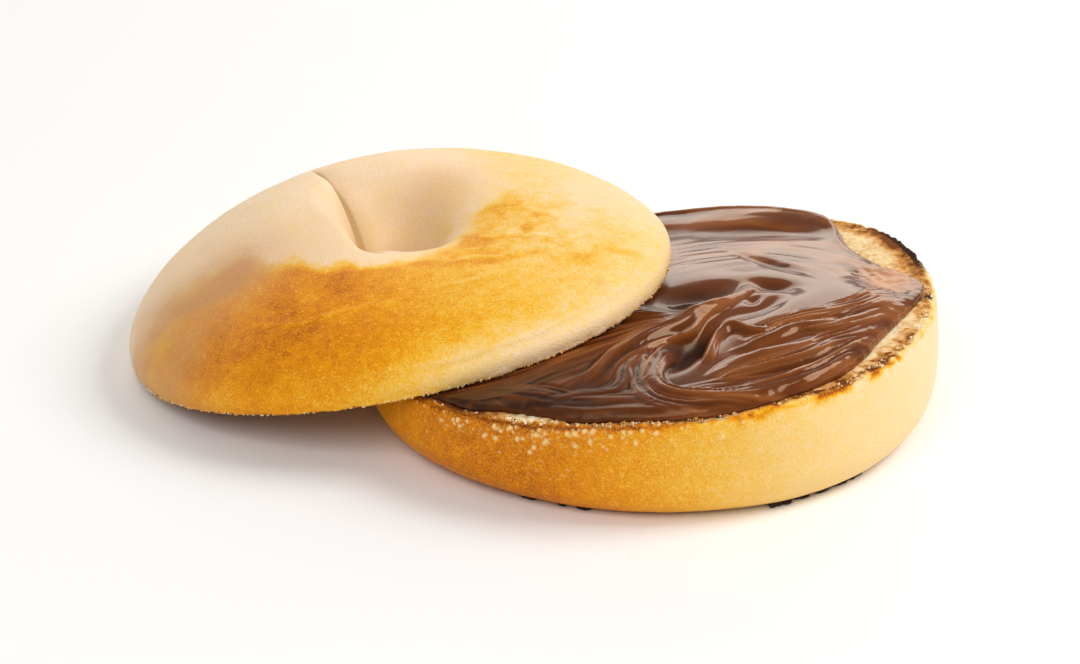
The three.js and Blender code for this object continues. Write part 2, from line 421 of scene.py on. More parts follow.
def makeChocolate():
    # painted shade in hollows and under the upper half, painted highlights on the ridges that the knife
    # drew out
    gloss = {"Specular IOR Level": spreadLook["shine"], "Specular Tint": spreadLook["shineTint"]}
    material, wire, shader = newMaterial("chocolateSpread", **gloss)
    streakHighlightAndTone, depth = wire.attribute("streakHighlightAndTone"), wire.attribute("depth")
    cloud = wire.noise(spreadLook["cloud"], 3) - 0.5
    # the streak mask, partly the spread's own tone, lightens ridge crests as painted highlight and darkens
    # grooves as painted shade; the depth mask darkens as painted shade
    tone = (0.5 + streakHighlightAndTone * 0.3 + cloud * 0.25 - depth * 0.6).ramp(
        ((0.0, spreadLook["deep"]), (0.5, spreadLook["middle"]), (1.0, spreadLook["light"]))
    )
    patchy = (wire.attribute("thin") + (wire.noise(1.6, 4) - 0.5) * 0.9).clamped(0.3, 0.9)
    tone = patchy.tint(tone, spreadLook["thin"])
    skin = wire.noise(spreadLook["skin"], 3) * spreadLook["skinHeight"]
    bump = wire.make("ShaderNodeBump", None, {"Distance": 1.0, "Strength": 1.0, "Height": skin})
    rough = spreadLook["roughness"] + cloud * 0.06
    rough = rough + patchy * spreadLook["thinRoughness"] + depth * spreadLook["hollowRoughness"]
    feed(wire, shader, Base_Color=tone, Roughness=rough, Normal=bump)
    return material


# A patch is a bearing, a half width and how much browner or paler it is there.
lower = {
    "place": (23.95, -10.1),
    "baseRadius": 46, "bulgeRadius": 53, "bulgeHeight": 7, "rimRadius": 51.2,
    "cutHeight": 15.7, "cutSlope": (0.092, -0.063),
    "holeRadius": 5, "holeFlare": 7,
    "outline": (-0.016, 0.04, -0.021, -0.009),
    "curl": (31, 16, 1.1),  # where the rim curls up: bearing, half width and height
    "bearings": 924,  # how many sections, and below how many points each part of one has
    "rows": {"cut": 9, "torn": 30, "side": 44, "foot": 14, "base": 5, "hole": 8},
    "lumps": (19, 0.3),  # the size and the height of the crust's slow unevenness
    "dents": (5, 0.1),
    "rimRoughness": 0.42,
    "blisters": 230, "blisterHeight": 0.5,
    "blisterBearing": (-113, 15), "blisterDrop": (0.8, 1.8), "blisterRadius": (0.17, 0.4),
    "crustToast": 0.24,
    "crustPatches": ((-124, 48, 0.56), (-12, 52, -0.23), (150, 60, 0.16)),
    "rimLine": (-125, 34),  # where the line under the rim is darkest: bearing and half width
    # bearings and half widths of what else the crust and the cut show
    "singed": (-45, 40), "pitted": (-117, 10), "bare": (22, 27), "scorched": (-42, 24),
    "crumbToast": 0.24,
    "crumbPatches": ((22, 27, 0.28), (-134, 10, 0.4), (-98, 12, 0.25)),
    "whitePatches": ((-118, 4.5, 1), (-21, 5, 1), (22, 27, 0.7)),
    "burnt": (24, 15), "burntSpot": (-4, 2.6), "paler": (-42, 34), "grainy": (-110, 40),
    "brownEdge": (28, 18),
    "seed": 11,
}


def cutHeightAt(x, y):
    # the sloping plane of the lower half's cut, with the part of its rim that curls up
    bearing, width, rise = lower["curl"]
    curl = facing(np.degrees(np.arctan2(y, x)), bearing, width) * smoothStep(38, 50, np.hypot(x, y))
    return lower["cutHeight"] + lower["cutSlope"][0] * x + lower["cutSlope"][1] * y + rise * curl


def lowerSurface():
    # closed sections round the lower half: cut, side, base, flare and hole wall, with r and z per row
    angle = (np.arange(lower["bearings"]) / lower["bearings"] * fullTurn)[:, None]
    share = outlineShare(lower["outline"], angle)
    rim, hole = lower["rimRadius"] * share, lower["holeRadius"]
    rimHeight = cutHeightAt(rim * np.cos(angle), rim * np.sin(angle))
    ones = np.ones_like(angle)
    count = lower["rows"]
    rows = []

    def add(radius, height=None):
        rows.append((radius * ones, height))

    for t in np.linspace(0, 0.72, count["cut"]):
        add(blend(hole, rim, t))
    for t in np.linspace(0.75, 1, count["torn"])[:-1]:
        add(blend(hole, rim, t))
    cutRows = len(rows)
    for t in np.linspace(0, quarterTurn, count["side"])[:-1]:
        radius = blend(lower["rimRadius"], lower["bulgeRadius"], math.sin(t)) * share
        add(radius, blend(lower["bulgeHeight"], rimHeight, math.cos(t)))
    for t in np.linspace(0, quarterTurn, count["foot"]):
        radius = blend(lower["bulgeRadius"], lower["baseRadius"], 1 - math.cos(t)) * share
        add(radius, lower["bulgeHeight"] * (1 - math.sin(t)) * ones)
    for t in np.linspace(0.15, 0.85, count["base"]):
        flare = (hole + lower["holeFlare"]) * ones
        add(blend(lower["baseRadius"] * share, flare, t), 0 * ones)
    for t in np.linspace(quarterTurn, 0, count["hole"]):
        add(hole + lower["holeFlare"] * (1 - math.cos(t)), lower["holeFlare"] * (1 - math.sin(t)) * ones)
    radius = np.concatenate([r for r, _ in rows], axis=1)
    x, y = radius * np.cos(angle), radius * np.sin(angle)
    cut = cutHeightAt(x, y)
    z = np.concatenate([cut[:, [k]] if h is None else h for k, (_, h) in enumerate(rows)], axis=1)
    return np.stack([x, y, z], axis=-1), np.degrees(angle), cutRows


def blistersAt(bearing, fromRim):
    # small domes at random places below the rim, 1 - d²/r² high
    (middle, width), (least, more) = lower["blisterBearing"], lower["blisterRadius"]
    height = np.zeros_like(fromRim)
    random = np.random.default_rng(lower["seed"])
    for _ in range(lower["blisters"]):
        turn = turnBetween(random.normal(middle, width), bearing)
        drop = lower["blisterDrop"][0] + abs(random.normal(0, lower["blisterDrop"][1]))
        radius = least + more * random.uniform(0, 1) ** 3
        away = ((np.radians(turn) * lower["bulgeRadius"]) ** 2 + (fromRim - drop) ** 2) / radius**2
        height = np.maximum(height, np.clip(1 - away, 0, 1) * radius / 0.6)
    return height


def makeLowerHalf(material):
    # the closed sections, moved along their normals by the relief: domes, noises and bells of the
    # bearing and of the way from the rim, from which the masks are made too
    points, bearing, cutRows = lowerSurface()
    normals = outwardNormals(points, cutRows + lower["rows"]["side"])
    fromRim = wayFrom(points, cutRows)  # negative on the cut, positive down the side
    seed = lower["seed"]
    wander = smoothNoise(points, 4, seed) + 0.6 * smoothNoise(points, 1.3, seed + 1)
    ragged = layeredNoise(points, 1.2, 2, seed + 8)
    side = smoothStep(0.2, 1.2, fromRim)
    bare = facing(bearing, *lower["bare"])
    pitted = facing(bearing, *lower["pitted"])
    onBase = smoothStep(0.6, 0, points[..., 2])
    crumb = smoothStep(0.5, -0.4, fromRim + 0.55 * wander)

    # an uneven crust with blisters, a ragged rim and a cut that is torn near it
    grain = scatteredDomes(points, 0.9, (0.18, 0.4), 0.6, seed + 4) * side
    blister = blistersAt(bearing, fromRim) + 0.3 * grain * facing(bearing, *lower["grainy"])
    raised = unevenness(points, lower, seed + 5) * side * (1 - onBase)
    raised += blister * lower["blisterHeight"]
    raised += bell(fromRim - 0.2, 1.3) * lower["rimRoughness"] * (wander * 0.4 + ragged)
    pores = scatteredDomes(points, 1.7, (0.3, 0.95), 0.7, seed + 7)
    torn = 0.22 * wander - 0.5 * pores * bare + (0.5 * ragged - 0.4 * pores) * pitted
    raised += crumb * smoothStep(-14, -2, fromRim) * torn
    points = points + normals * raised[..., None]
    points[..., 2] = np.maximum(points[..., 2], 0)

    # the crust's browning, with a dark line under the rim and singed patches
    toast = lower["crustToast"] + patchesAt(bearing, lower["crustPatches"]) + 0.03 * wander
    line = bell(fromRim - 0.5 - 0.4 * wander, 0.5) * (0.25 + 0.75 * facing(bearing, *lower["rimLine"]))
    toast = blend(toast, 0.97, np.clip(line, 0, 1))
    patches = layeredNoise(points * np.array([1, 1, 1.6]), 3, 3, seed + 9)
    singed = facing(bearing, *lower["singed"]) * bell(fromRim - 0.6, 1.3)
    toast += 0.6 * singed * smoothStep(-0.1, 0.3, patches)
    # the cut's toasting, browner towards the rim but for its white patches
    crumbToast = lower["crumbToast"] + patchesAt(bearing, lower["crumbPatches"]) + 0.2 * wander
    crumbToast += 0.3 * (pores - ragged) * pitted
    brownEdge = smoothStep(-4.6, -1.2, fromRim) * facing(bearing, *lower["brownEdge"])
    crumbToast += 0.5 * brownEdge
    whole = 1 - np.clip(patchesAt(bearing, lower["whitePatches"]), 0, 1)
    crumbToast += (0.34 + 0.5 * ragged) * whole * smoothStep(-6, -1, fromRim)
    scorched = facing(bearing, *lower["scorched"]) * smoothStep(-4.6, -1, fromRim + 0.8 * wander)
    crumbToast += 0.65 * scorched * smoothStep(-0.35, 0.1, patches)
    toast = blend(toast, crumbToast, crumb)
    char = facing(bearing, *lower["burnt"]) * smoothStep(-1.5, -0.7, fromRim + 0.3 * wander)
    char *= smoothStep(1.9, 0.9, fromRim)
    char += 0.9 * facing(bearing, *lower["burntSpot"]) * bell(fromRim + 0.6, 1.2)
    paler = 0.4 * facing(bearing, *lower["paler"]) * (1 - crumb) * smoothStep(0.8, 3, fromRim)
    pale = np.clip(blister * 1.5 + paler, 0, 0.85)
    # painted shade: darker within 2 mm of the floor
    shade = 0.22 * smoothStep(2, 0.2, points[..., 2])
    masks = {"toast": toast, "crumb": crumb, "blister": pale, "char": char, "shade": shade}
    piece = makePiece("lowerBread", points, ringFaces(*points.shape[:2]), masks, material)
    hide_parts("lower_half")
    return piece


# Here sizes are from the middle of the upper half's own cut. An oval is its middle and half sizes.
upper = {
    "cutMiddle": (-48.4, 18.4, 11.18), "lean": 12.7, "leanTowards": 166.8,
    "rimRadius": 52.1, "bulgeRadius": 52.5, "bulgeHeight": 1.7,
    "outline": (-0.02, -0.03, 0, -0.03),
    "hole": (1, -2), "holeRadius": 4.8, "neckHeight": 1,
    "crownHeight": 16.4, "crownRise": 4.3, "crownRiseTowards": 153,
    "crownReach": 17, "crownShift": 5.5, "crownShiftTowards": 45,
    "shoulder": 1.72,
    "bearings": 634,  # as for the lower half
    "rows": {"cut": 5, "edge": 9, "foot": 6, "crust": 112, "funnel": 28},
    "lumps": (22, 0.3), "dents": (6, 0.1), "rimRoughness": 0.3,
    "ridge": ((-95, -82, -43, 0), (1.2, 1.7, 4.6, 5.5)),  # bearings, and how far above the edge
    "lobe": (-17, -2, 13, 17), "lobeRise": 1.5,
    "bubble": (40.6, -31.5, 6.5), "bubbleSize": 1.5,
    "pale": (-12, 12, 33.5, 33.5),  # the unbrowned top
    "paleShifts": ((-16, -22, 9, 8, 0.1), (2, -20, 10, 6, -0.09), (-33, -20, 9, 8, 0.1)),
    "toast": 0.36,
    "toastPatches": ((-115, 50, 0.41), (30, 60, -0.1), (-178, 20, -0.5), (130, 30, 0.12)),
    # bearings and half widths
    "front": (-60, 50), "paleRight": (8, 26), "paleLeft": (-162, 12), "paleFront": (-62, 29),
    "blotchy": (-122, 40),
    # ovals
    "veined": (27, -15, 17, 11), "mottled": (24, -9, 18, 16), "patchy": (19, -8, 6.5, 12),
    "behind": (11, 13, 8, 9), "tanShadeAbove": (-25, -15, 19, 9),
    "tanShadePatches": ((-147, 15, 0.8), (-166, 14, 0.16)),
    "seed": 23,
}

# The fold where the two ends of the dough rope met: a wall on the left, a gully on the right.
seam = {
    "path": (
        (3, -15), (-0.6, -14.8), (-3.2, -12.8), (-4.8, -8), (-5.8, 1.2), (-8.6, 12), (-11.8, 21), (-16, 33),
    ),
    "depth": 3.9, "wall": 0.55, "gully": 9.5,
}

# Low folds of the crust: the path, the rise and the half width.
wrinkles = (
    (((-26, -30), (-20, -34), (-14, -36), (-8, -35.5), (3, -34.5), (7, -33)), 0.1, 0.6),
    (((9, -31.5), (13, -31), (17.5, -30), (22.5, -27)), 0.14, 0.6),
    (((12, -24), (17, -21), (22, -22), (28, -19), (33, -20)), 0.2, 0.7),
    (((16, -10), (21, -13), (26, -12), (31, -15)), 0.16, 0.8),
    (((14, -17), (19, -17), (24, -15.5), (27, -16)), 0.16, 0.6),
)

# Golden spots of the mottled patch: the place, the size and how much browner.
goldenSpots = (
    (9, -21.5, 1.6, 0.2), (14.2, -23, 1.5, 0.24), (19.3, -23.4, 1.5, 0.26), (24.3, -21.8, 1.5, 0.22),
    (28.6, -21.6, 1.3, 0.16), (36.5, -23.8, 1.8, 0.18), (42.1, -20.8, 1.3, 0.18), (46, -21, 1.2, 0.12),
    (17, -14, 1.5, 0.16), (18.5, -3, 1.2, 0.14),
)
# The arc of gold that runs round the right of the funnel.
goldenArc = ((16.7, -8.2), (18, -0.8), (20.6, 2.1), (24, 1.3), (27.8, -3.8), (30.3, -10.5))


def leanTurn():
    # the turn that leans the upper half, by Rodrigues' formula: its own axes as columns
    lean, towards = math.radians(upper["lean"]), math.radians(upper["leanTowards"])
    axis = np.array([-math.sin(towards), math.cos(towards), 0])
    cross = np.array([[0, 0, axis[1]], [0, 0, -axis[0]], [-axis[1], axis[0], 0]])
    return np.eye(3) + math.sin(lean) * cross + (1 - math.cos(lean)) * cross @ cross


def upperCutAt(x, y):
    # the leaning plane of the upper half's cut
    middle, normal = np.array(upper["cutMiddle"]), leanTurn()[:, 2]
    return middle[2] - (normal[0] * (x - middle[0]) + normal[1] * (y - middle[1])) / normal[2]


def upperSurface():
    # closed sections round the upper half, in its own cut's plane: cut, crust and funnel
    angle = (np.arange(upper["bearings"]) / upper["bearings"] * fullTurn)[:, None]
    share = outlineShare(upper["outline"], angle)
    shiftTurn, riseTurn = math.radians(upper["crownShiftTowards"]), math.radians(upper["crownRiseTowards"])
    reach = upper["crownReach"] + upper["crownShift"] * np.cos(angle - shiftTurn)
    crown = upper["crownHeight"] + upper["crownRise"] * np.cos(angle - riseTurn)
    crownWay = (reach - upper["holeRadius"]) / (upper["bulgeRadius"] - upper["holeRadius"])
    innerX = upper["hole"][0] + upper["holeRadius"] * np.cos(angle)
    innerY = upper["hole"][1] + upper["holeRadius"] * np.sin(angle)
    count = upper["rows"]
    rows = []

    def add(way, height, radius=upper["bulgeRadius"]):
        x = blend(innerX, radius * share * np.cos(angle), way)
        y = blend(innerY, radius * share * np.sin(angle), way)
        rows.append(np.stack([x, y, height * np.ones_like(x)], axis=-1))

    for t in np.linspace(0, 0.9, count["cut"]):
        add(t, 0, upper["rimRadius"])
    for t in np.linspace(0.915, 1, count["edge"])[:-1]:
        add(t, 0, upper["rimRadius"])
    cutRows = len(rows)
    for t in np.linspace(0, 1, count["foot"])[:-1]:
        radius = blend(upper["rimRadius"], upper["bulgeRadius"], math.sin(quarterTurn * t))
        add(1, upper["bulgeHeight"] * t, radius)
    for t in np.linspace(0, quarterTurn, count["crust"])[:-1]:
        way = blend(crownWay, 1, math.cos(t) ** (2 / upper["shoulder"]))
        add(way, blend(upper["bulgeHeight"], crown, math.sin(t)))
    for t in np.linspace(0, quarterTurn, count["funnel"]):
        add(crownWay * (1 - math.sin(t)), blend(upper["neckHeight"], crown, math.cos(t)))
    points = np.stack([row[:, 0] for row in rows], axis=1)
    keep = smoothStep(upper["neckHeight"], crown, points[..., 2])
    return points, np.degrees(angle), cutRows, keep


def makeUpperHalf(material):
    # the closed sections with the seam's drop, moved along their normals by the relief and leaned;
    # the masks are bells of the bearing, the place and the way from the edge, with noise on them
    points, bearing, cutRows, keep = upperSurface()
    x, y = points[..., 0], points[..., 1]
    # the seam's drop: steep on the left of its line, gentle on the right, fading at both ends
    signed, along, length = alongPath(x, y, seam["path"])
    across = np.where(signed > 0, bell(signed, seam["wall"]), bell(signed, seam["gully"]))
    points[..., 2] -= seam["depth"] * across * fadedEnds(along / length, 0.26, 0.6) * keep
    normals = outwardNormals(points, cutRows + upper["rows"]["foot"])
    fromEdge = wayFrom(points, cutRows)  # negative on the cut, positive up the crust
    seed = upper["seed"]
    wander = smoothNoise(points, 5, seed) + 0.6 * smoothNoise(points, 1.5, seed + 1)
    fine = smoothNoise(points, 0.9, seed + 2)
    onCrust = smoothStep(0.5, 2.5, fromEdge)
    front = facing(bearing, *upper["front"])

    raised = unevenness(points, upper, seed + 3) * onCrust
    # a low ridge over the cut, higher up towards the right, with a shallow groove below it
    ridgeAt = np.interp(bearing, *upper["ridge"]) + 0.4 * wander
    band = bell(fromEdge - ridgeAt, 0.6) * front
    raised += 0.2 * band - 0.14 * bell(fromEdge - ridgeAt + 1.2, 0.9) * front
    # the lobe left of the seam swells beside it
    lobe = spot(x, y, upper["lobe"]) * smoothStep(0, 3, signed)
    raised += upper["lobeRise"] * lobe * keep
    # line gathers the ridge and the folds, where the colour later gets a painted highlight
    line = band * 0.5
    for path, rise, width in wrinkles:
        off, way, whole = alongPath(x + 0.5 * wander, y + 0.5 * fine, path)
        ends = fadedEnds(way / whole, 0.2, 0.8) * onCrust
        fold = bell(off, width) * ends
        raised += rise * (fold - 0.6 * bell(off - 1.3, width) * ends)
        line = np.maximum(line, fold)
    # the mottled patch right of the funnel: veins where a noise crosses zero, and blobs between them
    patch = spot(x, y, upper["veined"]) * onCrust
    veins = bell(layeredNoise(points, 7, 3, seed + 5), 0.09) * patch
    blobs = scatteredDomes(points, 3.4, (0.6, 1.5), 0.5, seed + 6) * patch
    bubble = bell(np.linalg.norm(points - np.array(upper["bubble"]), axis=-1), upper["bubbleSize"])
    small = scatteredDomes(points, 1.3, (0.2, 0.5), 0.35, seed + 7) * onCrust
    raised += 0.16 * veins + 0.2 * blobs + 0.5 * bubble + 0.07 * small
    # a ragged edge, and a cut that is slightly uneven
    raised += bell(fromEdge, 0.9) * upper["rimRoughness"] * (wander * 0.5 + fine * 0.6)
    under = smoothStep(0.2, -0.5, fromEdge + 0.3 * wander)
    raised += under * 0.1 * wander
    points = points + normals * raised[..., None]

    # the pale top, with a border that is softer at the left and the back
    pale = ovalReach(x, y, upper["pale"])
    for *oval, shift in upper["paleShifts"]:
        pale += shift * spot(x, y, oval)
    soft = 0.07 + 0.2 * smoothStep(-8, -34, x) + 0.12 * smoothStep(0, 25, y)
    golden = smoothStep(0.98 - soft, 1.04 + soft, pale + 0.05 * wander + 0.02 * fine)
    # golden at the front, fading to pale gold at the right and the back, paler at the far left
    reach = np.hypot(x, y)
    toastSide = upper["toast"] + patchesAt(bearing, upper["toastPatches"]) - 0.05 * fine
    toastSide -= 0.15 * facing(bearing, *upper["paleRight"]) * smoothStep(27, 39, reach)
    toastSide -= 0.22 * facing(bearing, *upper["paleLeft"]) * smoothStep(40, 47, reach)
    toastSide -= 0.07 * smoothStep(7, 2, fromEdge)
    paleFront = facing(bearing, *upper["paleFront"]) * smoothStep(14, 2, fromEdge + 2 * wander)
    blotchy = layeredNoise(points, 6, 3, seed + 11) * facing(bearing, *upper["blotchy"])
    toastSide += 0.14 * blotchy - 0.3 * paleFront
    toast = blend(0.04 + 0.04 * wander, toastSide, golden)
    # toasted patches behind and right of the funnel, mottled, with golden spots in a row and an arc
    behind = spot(x, y, upper["behind"]) * onCrust
    patchy = spot(x, y, upper["patchy"]) * onCrust
    mottled = spot(x, y, upper["mottled"]) * onCrust
    blotch = layeredNoise(points, 3.4, 4, seed + 8)
    toast += 0.05 * behind + 0.24 * patchy
    toast += mottled * (0.3 * blotch + 0.1 * smoothStep(0.05, 0.3, blotch))
    for spotX, spotY, size, brown in goldenSpots:
        away = ovalReach(x, y, (spotX, spotY, 1.6, 1)) + 0.5 * wander
        toast += brown * bell(away, size) * onCrust
    off, way, whole = alongPath(x + 0.8 * wander, y + 0.8 * fine, goldenArc)
    toast += 0.12 * bell(off, 1.1) * fadedEnds(way / whole, 0.2, 0.8) * onCrust
    # paler along the folds and the ridge over the cut: painted highlight
    toast += 0.12 * veins - 0.16 * blobs - 0.08 * np.clip(line, 0, 1)
    # there the patch stays gold in place of turning brown
    toast -= 0.85 * np.clip(toast - 0.6, 0, 1) * np.clip(1.6 * mottled, 0, 1)
    # the cut face is toasted brown, and darker than toasting alone as painted shade for the gap above the
    # spread
    toast = blend(toast, 0.86 + 0.16 * wander, under)
    # shade in the seam's crease and the funnel
    crease = 0.9 * bell(signed + 0.5, 0.65) + 0.35 * bell(signed + 1.4, 2.2) * (signed < 0.3)
    crease *= fadedEnds(along / length, 0.16, 0.84)
    inFunnel = smoothStep(16, 7, np.hypot(x - 2, y - 1))
    shade = np.clip(crease + 0.26 * inFunnel + 0.03 * patchy, 0, 1)
    # the far left and the strip above the golden border are tan: partly the crust's own tone, partly
    # painted shade
    leftSide = patchesAt(bearing, upper["tanShadePatches"]) * smoothStep(22, 32, reach + 2 * wander)
    leftSide *= 0.85 + 0.6 * layeredNoise(points, 6, 3, seed + 10)
    above = bell(ovalReach(x, y, upper["tanShadeAbove"]) + 0.1 * wander, 1)
    tan = np.clip(leftSide + 0.36 * above * (1 - 0.6 * leftSide) + 0.4 * behind, 0, 0.9)
    char = 0.75 * bell(fromEdge + 0.5, 0.7) * smoothStep(-0.3, 0.9, wander) * front
    masks = {"toast": toast, "crumb": under, "char": char, "shade": shade, "tan": tan}
    masks["blister"] = 0.25 * small
    points = points @ leanTurn().T + np.array(upper["cutMiddle"])
    points[..., 2] = np.maximum(points[..., 2], 0)
    piece = makePiece("upperBread", points, ringFaces(*points.shape[:2]), masks, material)
    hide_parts("upper_half")
    return piece


spread = {
    "thickness": 2.6, "thinnest": 0.35, "edgeRound": 4, "edgeBead": 0.3,
    "margin": 0.75, "ripple": 0.25, "pressGap": 0.4, "sunk": 0.35,
    "bearings": 580, "rows": 168,
    "least": 0.25, "leastSoftness": 0.35,  # the least height, and how softly the height turns to it
    "strokeReach": 11,  # how far beside its path's box a stroke is worked out
    "belowRows": (0.15, 1.5, 12, 30),  # how far inside the edge the hidden underside's rings lie
    "covered": (165, 62, 0.75),  # the arc under the upper half: bearing, half width, how much sparser
    # bearing, half width, depth and how square the patch is
    "barePatches": ((28, 18, 8.8, 3), (-120, 8, 2.4, 4), (-26, 18, 4.6, 2.5), (-54, 12, 1.5, 2)),
    "hump": {"crest": -14, "width": 18, "rise": 1.5},
    "nearFall": (-32, -52, 1.1), "farFall": (8, 36, 1.3),  # from where to where in y, and how deep
    "smear": (42.4, 3.8, 6, 9.5),  # where the spread is wiped thin, as an oval
    "seed": 37,
}

# The knife's strokes, first to last: a path; the half width and the rise of the middle at its start,
# halfway and at its end; how many fine streaks it has across and how high they are.
strokes = (
    {"path": ((-30, 36), (-14, 44), (0, 48), (10, 48), (20, 47), (28, 42.5), (34, 36), (37, 29)),
     "wide": (8, 10, 6), "lift": (0.6, 0.7, 0.7, 0.6, -0.1, 0.5, 1.05, 0.8, 0.5), "streaks": (1.6, 0.12)},
    {"path": ((-16, 8), (2, 22), (20, 24), (34, 12), (40, 0)),
     "wide": (9, 9, 8), "lift": (0.1, 0, 0), "streaks": (4, 0.025)},
    {"path": ((-44, -16), (-30, -18), (-16, -13), (0, -8)),
     "wide": (9, 8, 5), "lift": (0.3, 0.3, 0.2), "streaks": (6, 0.14)},
    {"path": ((-42, -28), (-30, -29), (-18, -24.5), (-7, -18.5), (3, -13)),
     "wide": (7, 5.5, 3), "lift": (0.4, 0.6, 0.4), "streaks": (6, 0.22)},
    {"path": ((-38, -40), (-26, -39), (-16, -33.5), (-7, -27), (-1, -21)),
     "wide": (5.5, 5, 3), "lift": (0.4, 0.5, 0.3), "streaks": (5, 0.22)},
    {"path": ((48, -8), (43, -18), (33, -33), (22, -43), (8, -48.5), (-8, -50), (-24, -46), (-37, -38)),
     "wide": (4, 4, 3.5), "lift": (0.3, 0.4, 0.35), "streaks": (3.2, 0.24)},
    {"path": ((14, -40.5), (2, -43.5), (-10, -43.8), (-22, -40), (-33, -34)),
     "wide": (2.4, 3.2, 3), "lift": (0.3, 0.5, 0.3), "streaks": (2, 0.16)},
    {"path": ((47, -3), (40, -9), (33, -14), (24, -17.5), (14, -22.5)),
     "wide": (5, 4, 2), "lift": (0.3, 0.4, 0.6), "streaks": (3, 0.42)},
    {"path": ((46, -10), (36, -18), (29, -22), (23.7, -23), (18, -25.6), (12.5, -26)),
     "wide": (4.5, 3.5, 1.8), "lift": (0.4, 0.5, 0.5), "streaks": (2.6, 0.46)},
    {"path": ((44, -17), (35, -25.5), (28.5, -29.5), (21, -35), (12.3, -38.5), (5, -39.6)),
     "wide": (4.5, 4, 2), "lift": (0.4, 0.5, 0.5), "streaks": (2.8, 0.46)},
    {"path": ((40, -31), (30, -41), (18, -47.5), (5, -49.6), (-1.4, -47), (-4.6, -41), (-5, -33),
              (-3.6, -25), (1, -18)),
     "wide": (3.4, 2.6, 1.8), "lift": (0.3, 0.6, 0.8), "streaks": (2.6, 0.38)},
    {"path": ((42, -23), (34, -32), (26, -39.5), (17, -44.5), (8, -46), (1.5, -44), (-1.8, -39),
              (-2.2, -33), (0.4, -27), (5, -20)),
     "wide": (3.6, 2.8, 1.8), "lift": (0.4, 0.9, 1.0), "streaks": (3, 0.42)},
    {"path": ((-21, -43), (-15.5, -41), (-11, -41.2), (-8.3, -38.5), (-6.8, -33), (-4, -26)),
     "wide": (1.4, 1.8, 1.6), "lift": (0.3, 0.7, 0.6), "streaks": (2, 0.24)},
    {"path": ((1, -1.6), (4, 0), (8, 1.6)),
     "wide": (0.8, 1, 0.8), "lift": (0.1, 0.5, 0.1), "streaks": (1, 0.02)},
    {"path": ((32, -19.5), (24, -22.5), (16.5, -27), (11, -31)),
     "wide": (1.2, 2, 1.2), "lift": (0.2, 1.1, 0.2), "streaks": (1, 0.14)},
    {"path": ((27, -27.5), (21, -30), (15, -33), (10, -36.5), (6, -39.5)),
     "wide": (1.4, 2.4, 1.6), "lift": (0.2, 1.2, 0.3), "streaks": (1.3, 0.16)},
    {"path": ((16.8, 7), (15.4, 0.5), (12.6, -4.6), (9, -9.8), (5, -15.8), (0.4, -20.4), (-4.5, -24.3),
              (-8.8, -29), (-12, -34.5), (-16.5, -39)),
     "wide": (2, 3, 3.6), "lift": (0.2, 1.5, 2.4, 2.1, 1.3, 0.5), "streaks": (3.2, 0.3),
     "smooth": 14, "tail": 15},  # how far its streaks fade in and out
    {"path": ((7.4, -34.5), (8, -29), (9, -24), (10.6, -20.4), (12.6, -19.6), (15, -21.6), (19.5, -23)),
     "wide": (1.4, 1.8, 1.5), "lift": (0.4, 2.0, 0.5), "streaks": (1, 0.12)},
)

# Hollows: the middle, the half sizes along and across, the bearing of the long way, the depth and
# how flat the bottom is.
hollows = (
    ((14, 37.5), (22, 4), -14, 0.8, 1),
    ((6.6, -1.2), (8.5, 6.5), 28, 2.6, 1.4),
    ((20.4, 1.6), (4.6, 2.2), -50, 1.5, 1.1),
    ((17.5, -10.6), (7, 2.6), 44, 1.1, 1),
    ((20.6, 15), (8, 1.3), -56, 0.8, 1),
    ((16.8, -5.8), (2, 1.3), 62, 0.9, 1),
    ((4.7, -25), (7.8, 3.1), 62, 4.6, 1.1),
    ((-9, -13.8), (11, 1.5), 20, 1.2, 1),
)


def spreadEdge(angle):
    # the spread's reach: the rim less a margin with slow ripples, noise and the bare patches
    bearing = np.degrees(angle)
    seed = spread["seed"]
    circle = np.stack([np.cos(angle), np.sin(angle), np.zeros_like(angle)], axis=-1) * 50
    margin = spread["margin"] + spread["ripple"] * (np.sin(7 * angle + 1) + np.sin(11 * angle + 2))
    margin += 0.35 * layeredNoise(circle, 5, 3, seed) + 0.05 * smoothNoise(circle, 1.2, seed + 20)
    margin += 1.3 * layeredNoise(circle, 3, 2, seed + 21) * facing(bearing, 7, 11)
    margin += 0.4 * layeredNoise(circle, 1.8, 2, seed + 22) * facing(bearing, -114, 18)
    for patchBearing, halfWidth, depth, power in spread["barePatches"]:
        turn = np.abs(turnBetween(patchBearing, bearing)) / halfWidth
        margin += depth * np.exp(-(turn**power))
    return lower["rimRadius"] * outlineShare(lower["outline"], angle) - margin


def fallAt(y, fall):
    # how much lower the spread is where it slopes down to the front or the back
    start, end, depth = fall
    return depth * smoothStep(start, end, y)


